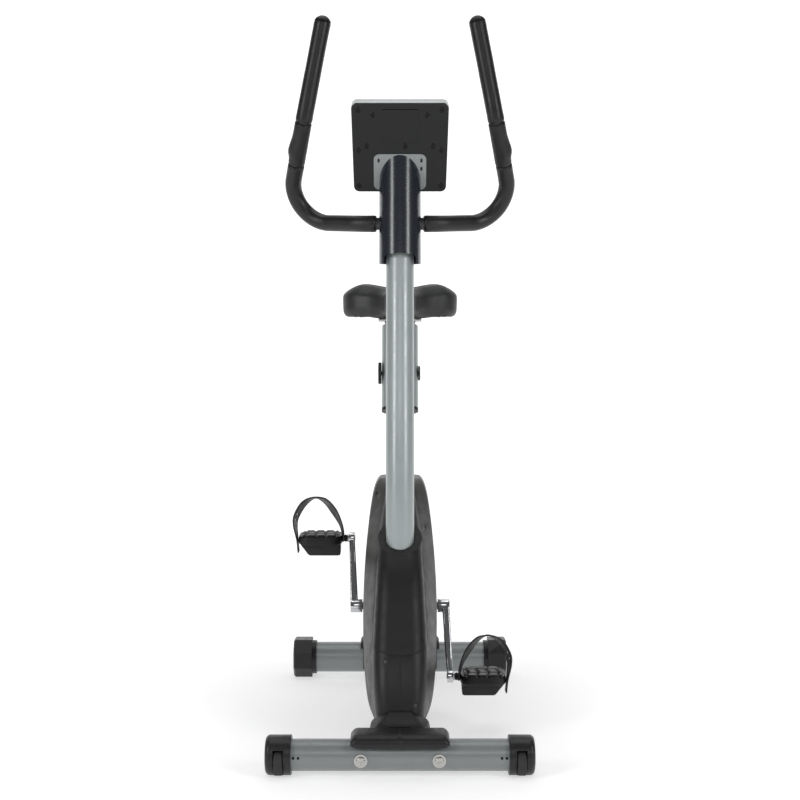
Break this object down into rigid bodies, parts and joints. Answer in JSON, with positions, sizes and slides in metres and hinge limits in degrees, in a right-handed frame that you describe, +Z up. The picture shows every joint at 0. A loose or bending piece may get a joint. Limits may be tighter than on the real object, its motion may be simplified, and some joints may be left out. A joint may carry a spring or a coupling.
{
  "type": "exercise bike",
  "caption": "Upright exercise bike with moving handlebar, cranks, strapped pedals, adjustable padded saddle, console and magnetic flywheel drive.",
  "frame": {"origin": "middle of the footprint on the floor", "axes": "+Z up, +X to the rider's left, -Y the way the rider faces"},
  "size_m": [0.5, 0.834, 1.4551],
  "materials": {
    "belt_rubber": "ribbed rubber",
    "black_plastic": "fine texture",
    "button_grey": "soft touch",
    "cast_iron": "painted casting",
    "chrome": "polished",
    "circuit": "circuit board",
    "display": "clear window",
    "foam": "soft matt foam",
    "frame_paint": "smooth grey powder coat",
    "gloss_black": "glossy",
    "hidden_paint": "black powder coat",
    "nose_plastic": "satin black",
    "saddle_cover": "black vinyl",
    "shell_plastic": "satin dark grey",
    "silver_trim": "silver paint",
    "steel": "turned",
    "wheel_plastic": "hard plastic",
    "zinc": "zinc plated"
  },
  "bodies": {
    "frame": {"front_stabilizer_tube": "frame_paint", "rear_stabilizer_tube": "frame_paint", "front_end_caps": "black_plastic", "bolts_and_pins": "zinc", "front_stabilizer_cover": "black_plastic", "rear_stabilizer_cover": "black_plastic", "main_frame": "frame_paint", "seat_mast": "chrome", "post_socket": "hidden_paint", "flywheel_fork": "hidden_paint", "handlebar_post": "frame_paint", "tension_base": "black_plastic", "tension_cable": "belt_rubber", "neck_cover_front": "gloss_black", "neck_cover_rear": "gloss_black", "console_bracket": "frame_paint", "console_back": "gloss_black", "console_bezel": "silver_trim", "display_lens": "display", "circuit_board": "circuit", "battery_cover": "gloss_black", "front_cover": "nose_plastic", "side_shell_left": "shell_plastic", "side_shell_right": "shell_plastic", "cover_screws": "steel", "drive_belt": "belt_rubber", "bearings": "steel"},
    "wheel_left": {"transport_wheel_left": "wheel_plastic"},
    "wheel_right": {"transport_wheel_right": "wheel_plastic"},
    "leveller_left": {"levelling_cap_left": "black_plastic"},
    "leveller_right": {"levelling_cap_right": "black_plastic"},
    "crank": {"crank_axle": "steel", "crank_pulley": "black_plastic", "crank_arm_left": "chrome", "crank_arm_right": "chrome", "crank_bolts_and_spindles": "steel"},
    "pedal_left": {"pedal_body_left": "black_plastic", "pedal_strap_left": "belt_rubber"},
    "pedal_right": {"pedal_body_right": "black_plastic", "pedal_strap_right": "belt_rubber"},
    "flywheel": {"flywheel": "cast_iron", "flywheel_shaft": "steel"},
    "magnet_arm": {"magnet_bracket": "steel", "magnets": "steel"},
    "tension_knob": {"tension_knob": "black_plastic"},
    "handlebar": {"handlebar_tube": "hidden_paint", "foam_grips": "foam", "pulse_sensors": "black_plastic", "pulse_plates": "chrome", "grip_end_plugs": "black_plastic"},
    "button_1": {"console_button_1": "button_grey"},
    "button_2": {"console_button_2": "button_grey"},
    "button_3": {"console_button_3": "button_grey"},
    "seat_post": {"seat_sleeve": "frame_paint", "sleeve_trim": "black_plastic", "saddle_clamp": "chrome", "saddle_bolt": "zinc"},
    "seat_knob": {"seat_clamp_knob": "black_plastic"},
    "saddle": {"saddle_pan": "hidden_paint", "saddle_pad": "saddle_cover"}
  },
  "joints": [
    {"name": "wheel_left_spin", "type": "hinge", "parent": "frame", "child": "wheel_left", "pos_m": [0.225, -0.393, 0.027], "axis": [1, 0, 0], "continuous": true},
    {"name": "wheel_right_spin", "type": "hinge", "parent": "frame", "child": "wheel_right", "pos_m": [-0.225, -0.393, 0.027], "axis": [1, 0, 0], "continuous": true},
    {"name": "leveller_left_turn", "type": "hinge", "parent": "frame", "child": "leveller_left", "pos_m": [0.228, 0.373, 0.044], "axis": [1, 0, 0], "continuous": true},
    {"name": "leveller_right_turn", "type": "hinge", "parent": "frame", "child": "leveller_right", "pos_m": [-0.228, 0.373, 0.044], "axis": [1, 0, 0], "continuous": true},
    {"name": "crank_spin", "type": "hinge", "parent": "frame", "child": "crank", "pos_m": [0, -0.005, 0.242], "axis": [1, 0, 0], "continuous": true},
    {"name": "pedal_left_spin", "type": "hinge", "parent": "crank", "child": "pedal_left", "pos_m": [0.17, -0.081, 0.11036], "axis": [1, 0, 0], "continuous": true},
    {"name": "pedal_right_spin", "type": "hinge", "parent": "crank", "child": "pedal_right", "pos_m": [-0.17, 0.071, 0.37364], "axis": [1, 0, 0], "continuous": true},
    {"name": "flywheel_spin", "type": "hinge", "parent": "frame", "child": "flywheel", "pos_m": [0, -0.19, 0.19], "axis": [1, 0, 0], "continuous": true},
    {"name": "tension_knob_turn", "type": "hinge", "parent": "frame", "child": "tension_knob", "pos_m": [0, -0.05662, 0.76344], "axis": [0, 0.9732, -0.23], "range_deg": [0, 280]},
    {"name": "magnet_swing", "type": "hinge", "parent": "frame", "child": "magnet_arm", "pos_m": [0, -0.096, 0.206], "axis": [1, 0, 0], "range_deg": [0, 4]},
    {"name": "handlebar_tilt", "type": "hinge", "parent": "frame", "child": "handlebar", "pos_m": [0, -0.0203, 1.041], "axis": [1, 0, 0], "range_deg": [-15, 15]},
    {"name": "button_1_press", "type": "slide", "parent": "frame", "child": "button_1", "axis": [0, -0.8746, -0.4848], "range_m": [0, 0.0015], "stiffness_N_per_m": 400},
    {"name": "button_2_press", "type": "slide", "parent": "frame", "child": "button_2", "axis": [0, -0.8746, -0.4848], "range_m": [0, 0.0015], "stiffness_N_per_m": 400},
    {"name": "button_3_press", "type": "slide", "parent": "frame", "child": "button_3", "axis": [0, -0.8746, -0.4848], "range_m": [0, 0.0015], "stiffness_N_per_m": 400},
    {"name": "seat_height", "type": "slide", "parent": "frame", "child": "seat_post", "axis": [0, 0.3502, 0.9367], "range_m": [0, 0.12]},
    {"name": "seat_knob_turn", "type": "hinge", "parent": "seat_post", "child": "seat_knob", "pos_m": [0, 0.17536, 0.72439], "axis": [1, 0, 0], "range_deg": [0, 360]},
    {"name": "saddle_tilt", "type": "hinge", "parent": "seat_post", "child": "saddle", "pos_m": [0, 0.221, 0.842], "axis": [1, 0, 0], "range_deg": [-10, 10]}
  ],
  "couplings": [
    {"joint": "flywheel_spin", "follows": "crank_spin", "ratio": 6.7047},
    {"joint": "magnet_swing", "follows": "tension_knob_turn", "ratio": 0.014286}
  ]
}
